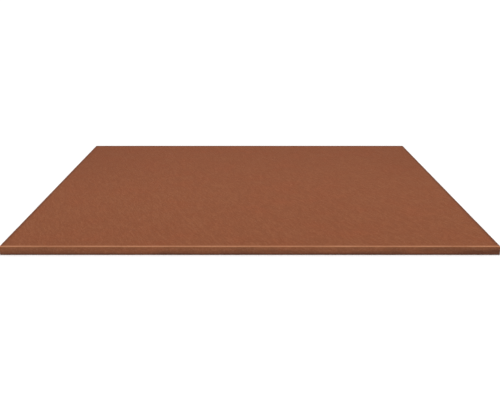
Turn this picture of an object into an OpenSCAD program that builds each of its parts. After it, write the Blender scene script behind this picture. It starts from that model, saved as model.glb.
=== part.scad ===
// Extruded split tile: a square slab of unglazed terracotta with eased arrises
// and a ribbed back, in millimetres.
//
// The clay leaves the die along X as a double slab, back to back. It is wired
// to length at the two X ends, fired, and split apart through the ribs. So the
// whole section across the ribs is one outline, the opening of the die.
//
// The tile lies face up on the split scars of its ribs. The origin is at the
// middle of its underside, and +Z points out of the face.

/* [Tile] */
// Work size along the ribs, from one wire-cut end to the other
tile_length = 597; // [100:1:900]
// Work size across the ribs, from one extruded side to the other
tile_width = 597; // [100:1:900]
// Overall thickness, from the split scars to the face
tile_thickness = 11.5; // [8:0.5:20]

/* [Edges] */
// Radius of the face's arris along the extruded sides
side_arris_radius = 1.4; // [0.5:0.1:3]
// Radius of the face's arris along the wire-cut ends
end_arris_radius = 1.4; // [0.5:0.1:3]
// Radius of the upright corners, seen from above
corner_radius = 0.8; // [0.5:0.1:3]
// Height of the foot of each extruded side that the die draws in
tuck_height = 5; // [2:0.5:5]
// How far the side is drawn in at its foot
side_tuck = 0.8; // [0.2:0.1:1.5]

/* [Ribbed back] */
// Distance between the centres of two ribs
rib_pitch = 22; // [18:0.5:40]
// Width of a groove where it opens, between two crests with sharp edges
groove_mouth = 12; // [6:0.5:13]
// Depth of a groove below the crests
groove_depth = 2.4; // [1.5:0.1:3.5]
// How far each wall of a groove leans back under the crest, to key the mortar
groove_undercut = 1.2; // [0.3:0.1:1.5]
// Radius between the wall and the floor of a groove
groove_root_radius = 0.5; // [0.2:0.1:0.7]
// Radius along the edges of each crest, limited by the wall above it
crest_edge_radius = 0.3; // [0.1:0.1:0.5]
// Least width of the plain land along each extruded side
edge_land = 12; // [8:0.5:30]
// Width of the split scar along each crest, at its foot
scar_width = 3.6; // [1.5:0.1:6]
// Height that a split scar stands proud of its crest
scar_height = 0.4; // [0.2:0.1:1]
// How far each flank of a scar slopes in
scar_slope = 0.5; // [0.1:0.1:0.6]

/* [Hidden] */
$fn = 96;

// How far a cutter runs past what it cuts, and a scar into its crest
overrun = 1;

// The crests stand this high, because the scars carry the tile
crest_z = scar_height;

// The foot of a side is an arc that leaves the upright face without a break
tuck_radius = (pow(tuck_height, 2) + pow(side_tuck, 2)) / (2 * side_tuck);

// As many grooves as fit between the two edge lands, centred on the tile
groove_count = floor((tile_width - 2 * edge_land - groove_mouth) / rib_pitch) + 1;
grooves_span = (groove_count - 1) * rib_pitch;

// The land that is left along each side, and the middle of it
side_land = (tile_width - grooves_span - groove_mouth) / 2;
side_land_middle = (tile_width - side_land) / 2;

// Lean of a groove's wall from upright, and the length of its flat stretch
wall_lean = atan2(groove_undercut, groove_depth);
wall_run = (groove_depth - groove_root_radius * (1 + sin(wall_lean))) / cos(wall_lean);

// Centre of the round between the wall and the floor, on the +X side
root_centre = [
  groove_mouth / 2 + wall_run * sin(wall_lean) - groove_root_radius * cos(wall_lean),
  groove_depth - groove_root_radius
];
root_steps = 5;

// The round of a crest's edge, which takes up to half of the wall's flat stretch
half_crest_edge = (90 - wall_lean) / 2;
crest_edge = min(crest_edge_radius, tan(half_crest_edge) * wall_run / 2);
crest_edge_centre = [groove_mouth / 2 + crest_edge / tan(half_crest_edge), crest_edge];
crest_edge_steps = 4;

// Half of a groove's outline: round the crest's edge at +X, up the wall, round
// the root, to the floor
groove_half = [
  crest_edge_centre - [0, crest_edge + overrun],
  for (i = [0:crest_edge_steps])
    let (angle = -90 - (90 + wall_lean) * i / crest_edge_steps)
      crest_edge_centre + crest_edge * [cos(angle), sin(angle)],
  for (i = [0:root_steps])
    let (angle = -wall_lean + (90 + wall_lean) * i / root_steps)
      root_centre + groove_root_radius * [cos(angle), sin(angle)]
];

// What a quarter-round of this radius leaves to cut off a square corner, with
// the centre of the round at the origin and the corner towards +X +Y
module corner_waste(radius) {
  difference() {
    square(radius + overrun);
    circle(radius);
  }
}

// What the tuck takes off the foot of the side at +X, with the start of its
// arc at the origin
module tuck_waste() {
  difference() {
    translate([-2 * side_tuck, -tuck_height - overrun])
      square([2 * side_tuck + overrun, tuck_height + overrun]);
    translate([-tuck_radius, 0]) circle(tuck_radius);
  }
}

// Section of one dovetail groove, opening downwards through y = 0
module groove_section() {
  last = len(groove_half) - 1;
  polygon([
    each groove_half,
    for (i = [last:-1:0]) [-groove_half[i][0], groove_half[i][1]]
  ]);
}

// Section of one split scar, hanging from its crest down to y = 0
module scar_section() {
  half_foot = scar_width / 2;
  half_top = half_foot - scar_slope;
  polygon([
    [-half_top, 0],
    [half_top, 0],
    [half_foot, scar_height],
    [half_foot, scar_height + overrun],
    [-half_foot, scar_height + overrun],
    [-half_foot, scar_height]
  ]);
}

// The opening of the die, in X across the ribs and Y up to the face
module die_section() {
  difference() {
    translate([-tile_width / 2, crest_z])
      square([tile_width, tile_thickness - crest_z]);
    for (side = [0, 1]) mirror([side, 0]) {
      translate([tile_width / 2 - side_arris_radius, tile_thickness - side_arris_radius])
        corner_waste(side_arris_radius);
      translate([tile_width / 2, crest_z + tuck_height])
        tuck_waste();
    }
    for (i = [0:groove_count - 1])
      translate([i * rib_pitch - grooves_span / 2, crest_z])
        groove_section();
  }
  for (i = [1:groove_count - 1])
    translate([(i - 0.5) * rib_pitch - grooves_span / 2, 0])
      scar_section();
  for (side = [-1, 1])
    translate([side * side_land_middle, 0])
      scar_section();
}

// The arris along the wire-cut end at +X
module end_arris_waste() {
  translate([tile_length / 2 - end_arris_radius, 0, tile_thickness - end_arris_radius])
    rotate([90, 0, 0])
      linear_extrude(tile_width + 2 * overrun, center = true)
        corner_waste(end_arris_radius);
}

// The upright corner at +X +Y
module upright_corner_waste() {
  translate([tile_length / 2 - corner_radius, tile_width / 2 - corner_radius, -overrun])
    linear_extrude(tile_thickness + 2 * overrun)
      corner_waste(corner_radius);
}

module split_tile() {
  color("#8e573e")
    difference() {
      rotate([90, 0, 90])
        linear_extrude(tile_length, center = true)
          die_section();
      for (end = [0, 1]) mirror([end, 0, 0]) {
        end_arris_waste();
        for (side = [0, 1]) mirror([0, side, 0])
          upright_corner_waste();
      }
    }
}

split_tile();
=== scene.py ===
import math

import bmesh
import bpy
from mathutils import Matrix, Vector, noise


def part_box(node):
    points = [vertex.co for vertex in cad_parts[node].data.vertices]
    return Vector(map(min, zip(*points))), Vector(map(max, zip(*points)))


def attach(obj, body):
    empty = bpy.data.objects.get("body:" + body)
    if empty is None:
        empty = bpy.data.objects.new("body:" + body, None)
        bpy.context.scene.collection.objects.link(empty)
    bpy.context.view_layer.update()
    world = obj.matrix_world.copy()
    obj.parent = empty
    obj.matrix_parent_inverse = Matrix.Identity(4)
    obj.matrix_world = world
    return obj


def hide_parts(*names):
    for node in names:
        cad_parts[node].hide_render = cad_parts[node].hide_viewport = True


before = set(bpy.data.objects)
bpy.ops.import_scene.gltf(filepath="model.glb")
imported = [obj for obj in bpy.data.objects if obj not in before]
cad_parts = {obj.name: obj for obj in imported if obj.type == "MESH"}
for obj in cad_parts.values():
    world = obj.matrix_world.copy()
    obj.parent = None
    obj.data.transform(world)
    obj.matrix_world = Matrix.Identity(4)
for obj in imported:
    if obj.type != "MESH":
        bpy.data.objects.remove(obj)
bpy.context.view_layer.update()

MM = 0.001

# The tile's box: X runs along the extrusion, Y across the ribs, Z out of the face
LOW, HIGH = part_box("split_tile")
LENGTH = HIGH.x - LOW.x
WIDTH = HIGH.y - LOW.y
HALF_LENGTH = LENGTH / 2
HALF_WIDTH = WIDTH / 2
TOP = HIGH.z

# Sizes of the die
RIB_PITCH = 22 * MM
GROOVE_MOUTH = 12 * MM
GROOVE_DEPTH = 2.4 * MM
GROOVE_UNDERCUT = 1.2 * MM
GROOVE_ROOT_RADIUS = 0.5 * MM
CREST_EDGE_RADIUS = 0.3 * MM
EDGE_LAND = 12 * MM
SCAR_WIDTH = 3.6 * MM
SCAR_HEIGHT = 0.4 * MM
SCAR_SLOPE = 0.5 * MM
TUCK_HEIGHT = 5 * MM
SIDE_TUCK = 0.8 * MM
ARRIS = 1.4 * MM
CORNER = 0.8 * MM

# Sizes that follow from them
CREST_Z = LOW.z + SCAR_HEIGHT
ROOT_Z = CREST_Z + GROOVE_DEPTH
TUCK_RADIUS = (TUCK_HEIGHT ** 2 + SIDE_TUCK ** 2) / (2 * SIDE_TUCK)
GROOVES = math.floor((WIDTH - 2 * EDGE_LAND - GROOVE_MOUTH) / RIB_PITCH) + 1
GROOVE_CENTRES = [(i - (GROOVES - 1) / 2) * RIB_PITCH for i in range(GROOVES)]
RIB_CENTRES = [y + RIB_PITCH / 2 for y in GROOVE_CENTRES[:-1]]
LAND_MIDDLE = (HALF_WIDTH + GROOVE_CENTRES[-1] + GROOVE_MOUTH / 2) / 2
SCAR_CENTRES = [-LAND_MIDDLE, *RIB_CENTRES, LAND_MIDDLE]

# How far a round reaches from its corner for each unit of its radius, where a groove's
# leaning wall meets the level crest or floor
WALL_LEAN = math.atan2(GROOVE_UNDERCUT, GROOVE_DEPTH)
ROUND_REACH = 1 / math.tan((math.pi / 2 - WALL_LEAN) / 2)

# The mesh's steps along and across the face, and the levels of its rows down the edges,
# which start a third of a step under the arris
FACE_STEP = 3 * MM
FACE_STEPS = round(LENGTH / FACE_STEP)
SIDE_STEP = 1.2 * MM
SIDE_ROWS = math.floor((TOP - ARRIS - CREST_Z) / SIDE_STEP)
SIDE_LEVELS = [TOP - ARRIS - (i + 1 / 3) * SIDE_STEP for i in range(SIDE_ROWS)]
ARRIS_SEGMENTS = 4
ROUND_SEGMENTS = 3

# Lengths in metres, and angles in radians, that differ by less than this are the same
CLOSE = 1e-6

# Before they are rounded, the edges of the face turn by more than the first of these, and
# the upright corners by more than the second. In the end, edges that turn by more than the
# third are shaded sharp
ARRIS_TURN = math.radians(60)
CORNER_TURN = math.radians(10)
SHARP_TURN = math.radians(32)

# The X part of a face's normal is more than this where the face lies on a wire-cut end
END_FACING = 0.99

# The wrinkles of the face run mostly across the tile, turned this far from X
WRINKLE_TURN = math.radians(70)

# The relief of each surface is smooth noise, which runs from -1 to 1 and is cut inwards from
# the die's clean shape. WAVES are the lengths of its waves along X, Y and Z, and DEPTH is how
# deep one unit of it cuts
FACE_SWELL_WAVES = (70 * MM,) * 3
FACE_SWELL_DEPTH = 0.04 * MM
FACE_WRINKLE_WAVES = (20 * MM, 8 * MM, 8 * MM)
FACE_WRINKLE_DEPTH = 0.008 * MM
SIDE_DRAG_WAVES = (90 * MM, 1 * MM, 1.6 * MM)
SIDE_DRAG_DEPTH = 0.04 * MM
ARRIS_RUB_WAVES = (40 * MM,) * 3
ARRIS_RUB_DEPTH = 0.06 * MM
ARRIS_NICK_WAVES = (5 * MM,) * 3
ARRIS_NICK_DEPTH = 0.5 * MM

# Finer ripples are added to the wrinkles, and count this much
FACE_RIPPLE_WAVES = (9.5 * MM, 3.8 * MM, 3.8 * MM)
FACE_RIPPLE_SHARE = 0.5

# An arris has a nick where its noise is more than this, and its wear comes in over this far
# from its lower edge
ARRIS_NICK_START = 0.35
ARRIS_WEAR_REACH = 0.3 * ARRIS

# An end lies at nearly one X, so the length along X only makes the two ends differ
END_SWEEP_WAVES = (47 * MM, 70 * MM, 50 * MM)
END_SWEEP_DEPTH = 0.08 * MM
END_DIP_WAVES = (47 * MM, 5 * MM, 16 * MM)
END_DIP_DEPTH = 0.25 * MM

# The noise of the break is coarse and fine. It swings about its mean, and cuts in where it
# is more than 0
BREAK_COARSE_WAVES = (9 * MM,) * 3
BREAK_FINE_WAVES = (3 * MM,) * 3
BREAK_FINE_SHARE = 0.6
BREAK_MEAN = 0.5
BREAK_DEPTH = 0.2 * MM
BREAK_SHORTFALL = 0.6 * MM

# Clay, fired red and left bare
CLAY_IOR = 1.5
CLAY = "#8f5537"
CLAY_WARM = "#975133"
# Iron colour of the clay's kiln clouds, and also painted shade in the drag lines' grooves
CLAY_IRON_AND_SHADE = "#804a30"
# Painted shade over the far half, the far corners and towards low X
CLAY_FAR_SHADE = "#612a12"
# Painted shade in hollows: of the wrinkles, the sand and the wire's lines
CLAY_HOLLOW_SHADE = "#70381f"
# Dark specks and mottle of the clay, and also painted shade: along the far edge, the ends' arris,
# the drawn sides' foot, the wire's torn pits and the break's crumbs
CLAY_SPECK_AND_SHADE = "#55301f"
CLAY_OCHRE = "#946040"
CLAY_PALE = "#b48a6e"
# Painted highlight along the arris of the drawn sides
CLAY_ARRIS_HIGHLIGHT = "#c48a67"

# The grain of each surface: the size of its patches along X, Y and Z in millimetres, and
# how the noise is drawn
KILN_CLOUD = dict(size_mm=(400, 400, 400))
CLAY_CLOUD = dict(size_mm=(40, 40, 40), detail=3)
# Grog and sand are 0.1 to 0.5 mm across and too fine to show, so they are drawn at 1 mm
SAND = dict(size_mm=(1, 1, 1), detail=4, roughness=0.75)
# The skin of a plastic clay dries into wrinkles of 14 by 2.5 mm
WRINKLES = dict(size_mm=(14, 2.5, 2.5), turn=-WRINKLE_TURN, detail=3, roughness=0.6, warp=0.8)
# Lines that the die draws along the clay, about a millimetre apart
DRAG_LINES = dict(size_mm=(150, 1.2, 1.2), detail=3)
DRAG_PATCHES = dict(size_mm=(45, 45, 8), detail=3)
DRAG_MOTTLE = dict(size_mm=(6, 3, 3), detail=3, roughness=0.6)
# Lines that the wire tears through the thickness, and the crumbs that it pulls out
WIRE_LINES = dict(size_mm=(9, 0.9, 7), detail=3, roughness=0.6)
WIRE_TEARS = dict(size_mm=(3, 2, 3.5), detail=3, roughness=0.6)
# Crumbs of the dry break
BREAK_CRUMBS = dict(size_mm=(2.2, 2.2, 2.2), detail=5, roughness=0.7)
# How the painted highlight along the sides' arris and the painted shade along the ends' arris come
# and go along their runs
ARRIS_HIGHLIGHT_PATCHES = dict(size_mm=(45, 9, 9), detail=3)
END_ARRIS_SHADE_PATCHES = dict(size_mm=(3, 3, 3), detail=4)

# Round spots at random places: how far apart they are, how big, and how soft their edges.
# Each kind is turned about Z by its own angle in radians, to keep them apart
IRON_SPOTS = dict(spacing_mm=9, radius_mm=0.35, soft_mm=0.15, turn=0.4)
SAND_SPOTS = dict(spacing_mm=5, radius_mm=0.2, soft_mm=0.15, turn=1.3)
PITS = dict(spacing_mm=7, radius_mm=0.25, soft_mm=0.2, turn=2.1)


# ---------------------------------------------------------------- the tile's mesh

def put_in_scene(name, data):
    """Stands a mesh, a lamp or a camera in the scene."""
    placed = bpy.data.objects.new(name, data)
    bpy.context.scene.collection.objects.link(placed)
    return placed


def put_mesh_in_scene(name, bm):
    """Stands a finished shape in the scene."""
    mesh = bpy.data.meshes.new(name)
    bm.to_mesh(mesh)
    bm.free()
    return put_in_scene(name, mesh)


def near(a, b):
    """True where two lengths or two angles are the same."""
    return abs(a - b) < CLOSE


def cut(bm, place, normal):
    """Cuts every face that the plane crosses."""
    everything = bm.verts[:] + bm.edges[:] + bm.faces[:]
    bmesh.ops.bisect_plane(bm, geom=everything, dist=CLOSE, plane_co=place, plane_no=normal)


def draw_section(bm):
    """The die's opening, as a flat grid of faces across the ribs at the low X end."""
    height = TOP - LOW.z
    # Stands a square of one metre up across X, and brings it to the width and the height
    upright = Matrix((
        (0, 0, 1, LOW.x),
        (WIDTH, 0, 0, 0),
        (0, height, 0, LOW.z + height / 2),
        (0, 0, 0, 1),
    ))
    bmesh.ops.create_grid(bm, x_segments=1, y_segments=1, size=0.5, matrix=upright)
    for centre in GROOVE_CENTRES:
        for side in (-1, 1):
            cut(bm, (0, centre + side * GROOVE_MOUTH / 2, 0), (0, 1, 0))
    for centre in SCAR_CENTRES:
        for offset in (-SCAR_WIDTH / 2, 0, SCAR_WIDTH / 2):
            cut(bm, (0, centre + offset, 0), (0, 1, 0))
    for level in (CREST_Z, ROOT_Z):
        cut(bm, (0, 0, level), (0, 0, 1))

    waste = []
    for face in bm.faces:
        middle = face.calc_center_median()
        in_groove = any(abs(middle.y - y) < GROOVE_MOUTH / 2 for y in GROOVE_CENTRES)
        in_scar = any(abs(middle.y - y) < SCAR_WIDTH / 2 for y in SCAR_CENTRES)
        if (in_groove and middle.z < ROOT_Z) or (not in_scar and middle.z < CREST_Z):
            waste.append(face)
    bmesh.ops.delete(bm, geom=waste, context="FACES")

    lean_grooves(bm)
    slope_scars(bm)
    join_faces(bm)
    round_grooves(bm)
    grid_section(bm)
    tuck_sides(bm)


def edge_points(bm, level, centres, offset):
    """The points at one level and this far to the side of any of the centres."""
    return [
        v for v in bm.verts
        if near(v.co.z, level) and any(near(v.co.y, y + offset) for y in centres)
    ]


def lean_grooves(bm):
    """Leans the grooves' walls outwards as they rise, into dovetails."""
    for side in (-1, 1):
        wall_tops = edge_points(bm, ROOT_Z, GROOVE_CENTRES, side * GROOVE_MOUTH / 2)
        bmesh.ops.translate(bm, verts=wall_tops, vec=(0, side * GROOVE_UNDERCUT, 0))


def slope_scars(bm):
    """Draws in the lower edges of the split scars."""
    for side in (-1, 1):
        foot_edges = edge_points(bm, LOW.z, SCAR_CENTRES, side * SCAR_WIDTH / 2)
        bmesh.ops.translate(bm, verts=foot_edges, vec=(0, -side * SCAR_SLOPE, 0))


def join_faces(bm):
    """Makes the section one face again, and keeps a point in the middle of each scar."""
    bmesh.ops.dissolve_faces(bm, faces=bm.faces[:])
    scar_middles = edge_points(bm, LOW.z, SCAR_CENTRES, 0)
    spare = [
        v for v in bm.verts
        if v not in scar_middles and near(v.calc_edge_angle(), 0)
    ]
    bmesh.ops.dissolve_verts(bm, verts=spare)


def round_grooves(bm):
    """Rounds the roots of the grooves, and the edges of the crests between them."""
    in_groove = GROOVE_MOUTH / 2 + GROOVE_UNDERCUT + CLOSE
    for level, radius in ((ROOT_Z, GROOVE_ROOT_RADIUS), (CREST_Z, CREST_EDGE_RADIUS)):
        bends = [
            v for v in bm.verts
            if near(v.co.z, level) and any(abs(v.co.y - y) < in_groove for y in GROOVE_CENTRES)
        ]
        bmesh.ops.bevel(
            bm, geom=bends, offset=radius * ROUND_REACH, segments=ROUND_SEGMENTS, profile=0.5,
            affect="VERTICES", material=-1,
        )


def grid_section(bm):
    """Cuts the section into small fields, so that the two ends have points to move."""
    for level in SIDE_LEVELS:
        cut(bm, (0, 0, level), (0, 0, 1))
    for step in range(1, FACE_STEPS):
        cut(bm, (0, LOW.y + WIDTH * step / FACE_STEPS, 0), (0, 1, 0))


def tuck_sides(bm):
    """Draws the feet of the two sides in along an arc."""
    for vert in bm.verts:
        drop = CREST_Z + TUCK_HEIGHT - vert.co.z
        if near(abs(vert.co.y), HALF_WIDTH) and drop > 0:
            inset = TUCK_RADIUS - math.sqrt(TUCK_RADIUS ** 2 - drop ** 2)
            vert.co.y -= math.copysign(inset, vert.co.y)


def on_side(vert):
    """True on the extruded sides, down to the foot that is drawn in."""
    return abs(vert.co.y) > HALF_WIDTH - SIDE_TUCK - CLOSE


def on_scar(vert):
    """True on the split scars."""
    return vert.co.z < CREST_Z + CLOSE and any(
        abs(vert.co.y - y) < SCAR_WIDTH / 2 + CLOSE for y in SCAR_CENTRES
    )


def sweep_section(bm):
    """Runs the section along X, and cuts the face, the sides and the scars into steps."""
    swept = bmesh.ops.extrude_face_region(bm, geom=bm.faces[:])
    far_end = [g for g in swept["geom"] if isinstance(g, bmesh.types.BMVert)]
    bmesh.ops.translate(bm, verts=far_end, vec=(LENGTH, 0, 0))
    bmesh.ops.recalc_face_normals(bm, faces=bm.faces[:])

    stepped = []
    for edge in bm.edges:
        a, b = edge.verts
        if not near(a.co.x, b.co.x) and (near(a.co.z, TOP) or on_side(a) or on_scar(a)):
            stepped.append(edge)
    bmesh.ops.subdivide_edges(bm, edges=stepped, cuts=FACE_STEPS - 1, use_grid_fill=True)


def at_corner(vert):
    """True on the upright corners, and on the mitres of the arris above them."""
    from_end = HALF_LENGTH - abs(vert.co.x)
    from_side = HALF_WIDTH - abs(vert.co.y)
    if vert.co.z > TOP - ARRIS - CLOSE:
        return near(from_end, from_side) and from_end < ARRIS + CLOSE
    return near(from_end, 0) and on_side(vert)


def round_edges(bm):
    """Rounds the arris all round the face, then the corners from foot to face."""
    arris = [
        e for e in bm.edges
        if all(near(v.co.z, TOP) for v in e.verts)
        and e.calc_face_angle(0) > ARRIS_TURN
    ]
    bmesh.ops.bevel(
        bm, geom=arris, offset=ARRIS, segments=ARRIS_SEGMENTS, profile=0.5,
        affect="EDGES", material=-1, clamp_overlap=True,
    )
    corners = [
        e for e in bm.edges
        if all(at_corner(v) for v in e.verts) and e.calc_face_angle(0) > CORNER_TURN
    ]
    bmesh.ops.bevel(
        bm, geom=corners, offset=CORNER, segments=ROUND_SEGMENTS, profile=0.5,
        affect="EDGES", material=-1, clamp_overlap=True,
    )


# ---------------------------------------------------------------- relief of the surfaces

def uneven(place, waves):
    """Smooth noise from -1 to 1, with waves of these lengths along X, Y and Z."""
    return noise.noise(Vector([at / wave for at, wave in zip(place, waves)]))


def face_relief(place):
    """How far the fired face lies below its high points: slow swells, then wrinkles."""
    swell = 1 + uneven(place, FACE_SWELL_WAVES)
    turned = Matrix.Rotation(WRINKLE_TURN, 3, "Z") @ place
    ripple = FACE_RIPPLE_SHARE * uneven(turned, FACE_RIPPLE_WAVES)
    wrinkle = 1 + uneven(turned, FACE_WRINKLE_WAVES) + ripple
    return swell * FACE_SWELL_DEPTH + max(0, wrinkle) * FACE_WRINKLE_DEPTH


def arris_wear(place):
    """How far the arris is worn back, with a shallow nick here and there."""
    nick = max(0, uneven(place, ARRIS_NICK_WAVES) - ARRIS_NICK_START)
    rub = 1 + uneven(place, ARRIS_RUB_WAVES)
    return nick * ARRIS_NICK_DEPTH + rub * ARRIS_RUB_DEPTH


def side_relief(place):
    """Lengthwise drag of the die along the extruded sides."""
    return (1 + uneven(place, SIDE_DRAG_WAVES)) * SIDE_DRAG_DEPTH


def end_relief(place):
    """How far the wire strayed inwards at an end, with a dip where it dragged a grain down."""
    sweep = 1 + uneven(place, END_SWEEP_WAVES)
    dip = max(0, uneven(place, END_DIP_WAVES))
    return sweep * END_SWEEP_DEPTH + dip * END_DIP_DEPTH


def scar_depth(place):
    """Ragged depth of the break along a rib."""
    fine = BREAK_FINE_SHARE * uneven(place, BREAK_FINE_WAVES)
    return max(0, BREAK_MEAN + uneven(place, BREAK_COARSE_WAVES) + fine) * BREAK_DEPTH


def scar_shortfall(place):
    """How far the edge of the break falls short of its full width."""
    rough = BREAK_MEAN + uneven(place, BREAK_FINE_WAVES) - uneven(place, BREAK_COARSE_WAVES)
    return max(0, rough) * BREAK_SHORTFALL


def weathered(vert):
    """Where a point of the die's clean shape lies on the fired tile, never outside it."""
    place = vert.co.copy()
    depth = 0
    if place.z > TOP - ARRIS + CLOSE:
        past_end = abs(place.x) - (HALF_LENGTH - ARRIS)
        past_side = abs(place.y) - (HALF_WIDTH - ARRIS)
        into_arris = min(max(past_end, past_side, 0), place.z - (TOP - ARRIS))
        worn = min(1, into_arris / ARRIS_WEAR_REACH)
        depth = face_relief(place) + worn * arris_wear(place)
    elif on_side(vert):
        depth = side_relief(place)
    elif on_scar(vert):
        depth = scar_depth(place)
        short = scar_shortfall(place)
        to_middle = min((y - place.y for y in SCAR_CENTRES), key=abs)
        if abs(to_middle) > short:
            place.y += math.copysign(short, to_middle)
    if abs(place.x) > HALF_LENGTH - ARRIS - CLOSE:
        place.x -= math.copysign(end_relief(vert.co), place.x)
    return place - depth * vert.normal


def weather(bm):
    """Gives each kind of surface its relief, inwards only."""
    bm.normal_update()
    places = [weathered(v) for v in bm.verts]
    for vert, place in zip(bm.verts, places):
        vert.co = place


def finish_of(face):
    """Which finish a face of the tile has."""
    middle = face.calc_center_median()
    if middle.z > TOP - ARRIS:
        return "face"
    if abs(face.normal.x) > END_FACING:
        return "wire_cut"
    on_break = all(v.co.z < CREST_Z + CLOSE for v in face.verts) and any(
        abs(middle.y - y) < SCAR_WIDTH / 2 for y in SCAR_CENTRES
    )
    return "break" if on_break else "die_drawn"


def build_tile(materials):
    """The whole tile in one mesh, with a material for each finish."""
    bm = bmesh.new()
    draw_section(bm)
    sweep_section(bm)
    round_edges(bm)
    bm.normal_update()
    names = list(materials)
    for face in bm.faces:
        face.smooth = True
        face.material_index = names.index(finish_of(face))
    weather(bm)
    body = put_mesh_in_scene("tile_body", bm)
    for material in materials.values():
        body.data.materials.append(material)
    body.data.set_sharp_from_angle(angle=SHARP_TURN)
    return body


# ---------------------------------------------------------------- finishes

# The sockets of a Mix node that blends two colours
MIX_AMOUNT = 0
MIX_UNDER = 6
MIX_OVER = 7

# The tile's edges in millimetres, as the finishes read them
END_MM = HALF_LENGTH / MM
SIDE_MM = HALF_WIDTH / MM
TOP_MM = TOP / MM


def colour(hex_code):
    """An sRGB hex colour as linear RGBA."""
    parts = [int(hex_code[i:i + 2], 16) / 255 for i in (1, 3, 5)]
    linear = [c / 12.92 if c <= 0.04045 else ((c + 0.055) / 1.055) ** 2.4 for c in parts]
    return (*linear, 1)


def feed(tree, socket, value):
    """Gives a socket its value, or links it to the node or the output that makes it."""
    if isinstance(value, bpy.types.Node):
        value = next(output for output in value.outputs if output.enabled)
    if isinstance(value, bpy.types.NodeSocket):
        tree.links.new(value, socket)
    else:
        socket.default_value = value


def add(tree, kind, inputs, **settings):
    """Adds a node with its settings, and feeds each of the inputs."""
    made = tree.nodes.new("ShaderNode" + kind)
    for name, value in settings.items():
        setattr(made, name, value)
    for socket, value in inputs.items():
        feed(tree, made.inputs[socket], value)
    return made


def object_space(tree, unit_mm=(1, 1, 1), turn=0.0):
    """Object coordinates in units of this size along X, Y and Z, turned about Z."""
    place = add(tree, "TexCoord", {}).outputs["Object"]
    unit = [length * MM for length in unit_mm]
    turned = (0, 0, turn)
    return add(
        tree, "Mapping", {"Vector": place, "Rotation": turned, "Scale": unit},
        vector_type="TEXTURE",
    )


def grains(
    tree, size_mm, turn=0.0, detail=2.0, roughness=0.5, warp=0.0, band=(0, 1), levels=(0, 1)
):
    """Patches of noise: levels[0] up to band[0], and levels[1] from band[1] on."""
    grain = add(
        tree, "TexNoise",
        {
            "Vector": object_space(tree, size_mm, turn), "Scale": 1.0,
            "Detail": detail, "Roughness": roughness, "Distortion": warp,
        },
    )
    return add(
        tree, "MapRange",
        {
            "Value": grain, "From Min": band[0], "From Max": band[1],
            "To Min": levels[0], "To Max": levels[1],
        },
    )


def spots(tree, spacing_mm, radius_mm, soft_mm, turn):
    """Round spots at random places: 1 inside, and 0 outside."""
    cells = add(
        tree, "TexVoronoi",
        {"Vector": object_space(tree, (spacing_mm,) * 3, turn), "Scale": 1.0},
    )
    outer = (radius_mm + soft_mm) / spacing_mm
    inner = radius_mm / spacing_mm
    return add(tree, "MapRange", {"Value": cells, "From Min": outer, "From Max": inner})


def zone(tree, **spans):
    """A part of the tile, as the product of one ramp for each span in millimetres.

    x, y and z are places, and x_out and y_out run outwards from the middle. A ramp rises
    from 0 at the span's start to 1 at its end, or between the two levels that follow them.
    """
    place = add(tree, "SeparateXYZ", {"Vector": object_space(tree)})
    product = 1.0
    for name, (start, end, *levels) in spans.items():
        along = place.outputs[name[0].upper()]
        if name.endswith("_out"):
            along = add(tree, "Math", {0: along}, operation="ABSOLUTE")
        at_start, at_end = levels or (0.0, 1.0)
        ramp = add(
            tree, "MapRange",
            {
                "Value": along, "From Min": start, "From Max": end,
                "To Min": at_start, "To Max": at_end,
            },
        )
        product = add(tree, "Math", {0: ramp, 1: product}, operation="MULTIPLY")
    return product


def lay_colour(tree, body, over, strength, *masks):
    """The body colour with another laid over it, by the strength times every mask."""
    amount = strength
    for mask in masks:
        amount = add(tree, "Math", {0: mask, 1: amount}, operation="MULTIPLY")
    inputs = {MIX_AMOUNT: amount, MIX_UNDER: body, MIX_OVER: colour(over)}
    return add(tree, "Mix", inputs, data_type="RGBA")


def relief(tree, *layers):
    """Bump in layers, each a height from 0 to 1 and its rise in millimetres.

    A rise below 0 sinks in.
    """
    surface = {}
    for height, rise_mm in layers:
        raised = add(tree, "Bump", {"Height": height, "Distance": rise_mm * MM, **surface})
        surface = {"Normal": raised}
    return raised


def new_material(name, values):
    """A new material and its shader, with these plain values on the shader's sockets."""
    material = bpy.data.materials.new(name)
    material.use_nodes = True
    shader = material.node_tree.nodes["Principled BSDF"]
    for socket, value in values.items():
        shader.inputs[socket].default_value = value
    return material, shader


def finish(name, paint, roughness, specular):
    """A clay material. paint builds its colour and its relief in the node tree."""
    values = {"IOR": CLAY_IOR, "Roughness": roughness, "Specular IOR Level": specular}
    material, shader = new_material(name, values)
    tree = material.node_tree
    body, bumps = paint(tree)
    feed(tree, shader.inputs["Base Color"], body)
    feed(tree, shader.inputs["Normal"], bumps)
    return material


def clay_colour(tree):
    """Red firing clay, cloudy from the kiln, with painted shade laid over it.

    The shade darkens its far half and the far corners, towards low X, and along the far side.
    """
    body = lay_colour(tree, colour(CLAY), CLAY_IRON_AND_SHADE, 0.1, grains(tree, **KILN_CLOUD, band=(0.35, 0.65)))
    body = lay_colour(tree, body, CLAY_WARM, 0.3, grains(tree, **CLAY_CLOUD, band=(0.5, 0.7)))
    body = lay_colour(tree, body, CLAY_OCHRE, 0.2, grains(tree, **CLAY_CLOUD, band=(0.5, 0.3)))
    # Painted shade: darker over the far half, the far corners and towards low X
    body = lay_colour(tree, body, CLAY_FAR_SHADE, 0.22, zone(tree, y=(-60, 260)))
    body = lay_colour(tree, body, CLAY_FAR_SHADE, 0.14, zone(tree, x_out=(180, 300), y=(-60, 160)))
    body = lay_colour(tree, body, CLAY_FAR_SHADE, 0.07, zone(tree, x=(-120, -300)))
    # A dark painted shade band along the far edge
    return lay_colour(tree, body, CLAY_SPECK_AND_SHADE, 0.9, zone(tree, y=(SIDE_MM - 10, SIDE_MM - 4)))


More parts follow.
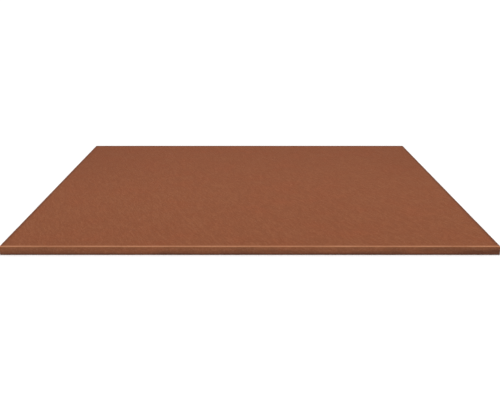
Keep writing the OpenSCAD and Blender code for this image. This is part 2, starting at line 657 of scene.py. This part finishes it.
def grit_and_hollow_shade(tree, body):
    """Lays the clay's grit over a body colour: painted shade in the sand's hollows, pale sand and
    dark iron spots.
    """
    body = lay_colour(tree, body, CLAY_HOLLOW_SHADE, 0.42, grains(tree, **SAND, band=(0.55, 0.35)))
    body = lay_colour(tree, body, CLAY_PALE, 0.35, grains(tree, **SAND, band=(0.55, 0.7)))
    body = lay_colour(tree, body, CLAY_SPECK_AND_SHADE, 0.6, spots(tree, **IRON_SPOTS))
    return lay_colour(tree, body, CLAY_PALE, 0.28, spots(tree, **SAND_SPOTS))


def edge_highlight_and_shade(tree, body):
    """Lays painted light on the edges over a body colour: a pale painted highlight along the
    sides' arris, strongest at -Y, and painted shade along the ends' arris.
    """
    # Painted highlight along the sides' arris, strong at -Y and weak at +Y
    arris_highlight = zone(
        tree,
        y_out=(SIDE_MM - 2.6, SIDE_MM - 0.8),
        z=(TOP_MM - 1.5, TOP_MM - 0.5),
        y=(-SIDE_MM, SIDE_MM, 1.0, 0.2),
    )
    patchy = grains(tree, **ARRIS_HIGHLIGHT_PATCHES, band=(0.3, 0.7), levels=(0.6, 1.0))
    body = lay_colour(tree, body, CLAY_ARRIS_HIGHLIGHT, 1.0, arris_highlight, patchy)
    # Painted shade along the ends' arris
    end_arris_shade = zone(
        tree,
        x_out=(END_MM - 6.5, END_MM - 0.8),
        z=(TOP_MM - 2.5, TOP_MM - 0.5),
        y_out=(SIDE_MM - 1, SIDE_MM - 6),
    )
    patchy_shade = grains(tree, **END_ARRIS_SHADE_PATCHES, band=(0.3, 0.7), levels=(0.95, 0.65))
    return lay_colour(tree, body, CLAY_SPECK_AND_SHADE, 1.0, end_arris_shade, patchy_shade)


def painted_foot_shade(tree):
    """How much painted shade the foot of a drawn side gets: patchy, and darker towards the ends
    and +X.
    """
    shade_amount = grains(tree, **DRAG_PATCHES, band=(0.35, 0.65), levels=(-0.25, 0.25))
    for part, share in (
        (zone(tree, z=(7.5, 0)), 0.75),
        (zone(tree, z=(3, 0.5)), 0.45),
        (zone(tree, x_out=(150, 290)), 0.22),
    ):
        shade_amount = add(tree, "Math", {0: part, 1: share, 2: shade_amount}, operation="MULTIPLY_ADD")
    side_only = zone(
        tree, x=(-END_MM, END_MM, 0.6, 1.5), y_out=(SIDE_MM - 9, SIDE_MM - 1, 0.25, 1.0),
    )
    return add(tree, "Math", {0: shade_amount, 1: side_only}, operation="MULTIPLY", use_clamp=True)


def paint_face(tree):
    """The bare face: wrinkles, pits and sand, with painted shade in the hollows of the wrinkles
    and the sand, and the edges' painted highlight and shade.
    """
    body = clay_colour(tree)
    # Painted shade in the wrinkles' hollows
    body = lay_colour(tree, body, CLAY_HOLLOW_SHADE, 0.33, grains(tree, **WRINKLES, band=(0.62, 0.44)))
    bumps = relief(
        tree,
        (grains(tree, **WRINKLES), 0.25),
        (spots(tree, **PITS), -0.15),
        (grains(tree, **SAND), 0.2),
    )
    return grit_and_hollow_shade(tree, edge_highlight_and_shade(tree, body)), bumps


def paint_die_drawn(tree):
    """The drawn sides and back: drag lines with painted shade in their grooves, and painted shade
    at the foot.
    """
    body = clay_colour(tree)
    ochre = grains(tree, **DRAG_PATCHES, band=(0.4, 0.7), levels=(0.2, 0.7))
    body = lay_colour(tree, body, CLAY_OCHRE, 1.0, ochre)
    # Painted shade towards the foot of the drawn sides
    body = lay_colour(tree, body, CLAY_SPECK_AND_SHADE, 1.0, painted_foot_shade(tree))
    body = lay_colour(tree, body, CLAY_SPECK_AND_SHADE, 0.22, grains(tree, **DRAG_MOTTLE, band=(0.6, 0.35)))
    # Painted shade in the grooves of the drag lines
    body = lay_colour(tree, body, CLAY_IRON_AND_SHADE, 0.35, grains(tree, **DRAG_LINES, band=(0.65, 0.35)))
    bumps = relief(tree, (grains(tree, **DRAG_LINES), 0.1), (grains(tree, **SAND), 0.08))
    return grit_and_hollow_shade(tree, edge_highlight_and_shade(tree, body)), bumps


def paint_wire_cut(tree):
    """The cut ends: the wire's lines and the crumbs it tore out, with painted shade in the lines'
    hollows and in the torn pits.
    """
    body = clay_colour(tree)
    # Painted shade in the hollows of the wire's lines
    body = lay_colour(tree, body, CLAY_HOLLOW_SHADE, 0.4, grains(tree, **WIRE_LINES, band=(0.6, 0.35)))
    # Painted shade in the pits the wire tore out
    body = lay_colour(tree, body, CLAY_SPECK_AND_SHADE, 0.5, grains(tree, **WIRE_TEARS, band=(0.45, 0.3)))
    bumps = relief(
        tree,
        (grains(tree, **WIRE_LINES), 0.25),
        (grains(tree, **WIRE_TEARS), 0.5),
        (grains(tree, **SAND), 0.2),
    )
    return grit_and_hollow_shade(tree, edge_highlight_and_shade(tree, body)), bumps


def paint_break(tree):
    """The split scars: pale, open and crumbly, with painted shade in the crumbs' hollows."""
    body = lay_colour(tree, clay_colour(tree), CLAY_PALE, 0.45)
    # Painted shade in the hollows between the crumbs
    body = lay_colour(tree, body, CLAY_SPECK_AND_SHADE, 0.7, grains(tree, **BREAK_CRUMBS, band=(0.55, 0.35)))
    return grit_and_hollow_shade(tree, body), relief(tree, (grains(tree, **BREAK_CRUMBS), 0.8))


tile = build_tile({
    # Fired bare: matt, with the slightly leathery skin of clay dried from plastic
    "face": finish("unglazed_terracotta_face", paint_face, roughness=0.9, specular=0.12),
    # Drawn past the die's walls: smooth, with long fine drag lines
    "die_drawn": finish("die_drawn_terracotta", paint_die_drawn, roughness=0.75, specular=0.2),
    # Torn by the cutting wire, in fine lines that run through the thickness
    "wire_cut": finish("wire_cut_terracotta", paint_wire_cut, roughness=0.9, specular=0.12),
    # The dry open break where the fired twin was split off
    "break": finish("split_terracotta_break", paint_break, roughness=0.95, specular=0.12),
})
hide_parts("split_tile")
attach(tile, "root")


# ---------------------------------------------------------------- studio

# The camera looks at the tile level and square, from just above its front side
CAMERA_PLACE = (-0.0013, -1.1531, 0.3073)
CAMERA_DIP = math.radians(15.614)
CAMERA_LENS_MM = 54.69
CAMERA_SENSOR_MM = 36
CAMERA_SHIFT = 0.00236
CAMERA_REACH = 100

# Plain light: the white air all round, and one wide lamp overhead, which leans to the front
# and a little to low X
AIR_STRENGTH = 0.5
LAMP_STRENGTH = 1.85
LAMP_WIDTH = math.radians(50)
LAMP_LEAN = (math.radians(14), math.radians(-8), 0)

# A floor of almost white paint. Seen by the camera it is lifted towards white by this much,
# which leaves a faint shadow under the tile
FLOOR_HALF_SIZE = 30
FLOOR_PAINT = "#f9f9f9"
FLOOR_LIFT = 0.1
WHITE = "#ffffff"


def build_floor():
    """A wide white floor, which is stage and no part of the tile."""
    bm = bmesh.new()
    bmesh.ops.create_grid(bm, x_segments=1, y_segments=1, size=FLOOR_HALF_SIZE)
    floor = put_mesh_in_scene("studio_floor", bm)

    material, shader = new_material(
        "white_studio_floor",
        {
            "Base Color": colour(FLOOR_PAINT),
            "Roughness": 1.0,
            "Specular IOR Level": 0.0,
            "Emission Color": colour(WHITE),
        },
    )
    tree = material.node_tree
    seen = add(tree, "LightPath", {}).outputs["Is Camera Ray"]
    lift = add(tree, "Math", {0: seen, 1: FLOOR_LIFT}, operation="MULTIPLY")
    feed(tree, shader.inputs["Emission Strength"], lift)
    floor.data.materials.append(material)


def light_studio():
    """Hangs the lamp in white air, which looks brighter than it lights."""
    world = bpy.data.worlds.new("studio_air")
    bpy.context.scene.world = world
    world.use_nodes = True
    tree = world.node_tree
    rays = add(tree, "LightPath", {}).outputs
    seen = rays["Is Camera Ray"]
    for kind in ("Is Glossy Ray", "Is Transmission Ray"):
        seen = add(tree, "Math", {0: seen, 1: rays[kind]}, operation="MAXIMUM")
    strength = add(tree, "MapRange", {"Value": seen, "To Min": AIR_STRENGTH, "To Max": 1.0})
    air = tree.nodes["Background"]
    air.inputs["Color"].default_value = colour(WHITE)
    feed(tree, air.inputs["Strength"], strength)

    lamp = bpy.data.lights.new("overhead_softbox", "SUN")
    lamp.energy = LAMP_STRENGTH
    lamp.angle = LAMP_WIDTH
    put_in_scene("overhead_softbox", lamp).rotation_euler = LAMP_LEAN


def place_camera():
    """The one camera, level from side to side and dipped towards the tile."""
    camera = bpy.data.cameras.new("camera")
    camera.lens = CAMERA_LENS_MM
    camera.sensor_width = CAMERA_SENSOR_MM
    camera.shift_x = CAMERA_SHIFT
    camera.clip_end = CAMERA_REACH
    stand = put_in_scene("camera", camera)
    stand.location = CAMERA_PLACE
    stand.rotation_euler = (math.pi / 2 - CAMERA_DIP, 0, 0)
    bpy.context.scene.camera = stand


build_floor()
light_studio()
place_camera()
bpy.context.scene.view_settings.view_transform = "Standard"
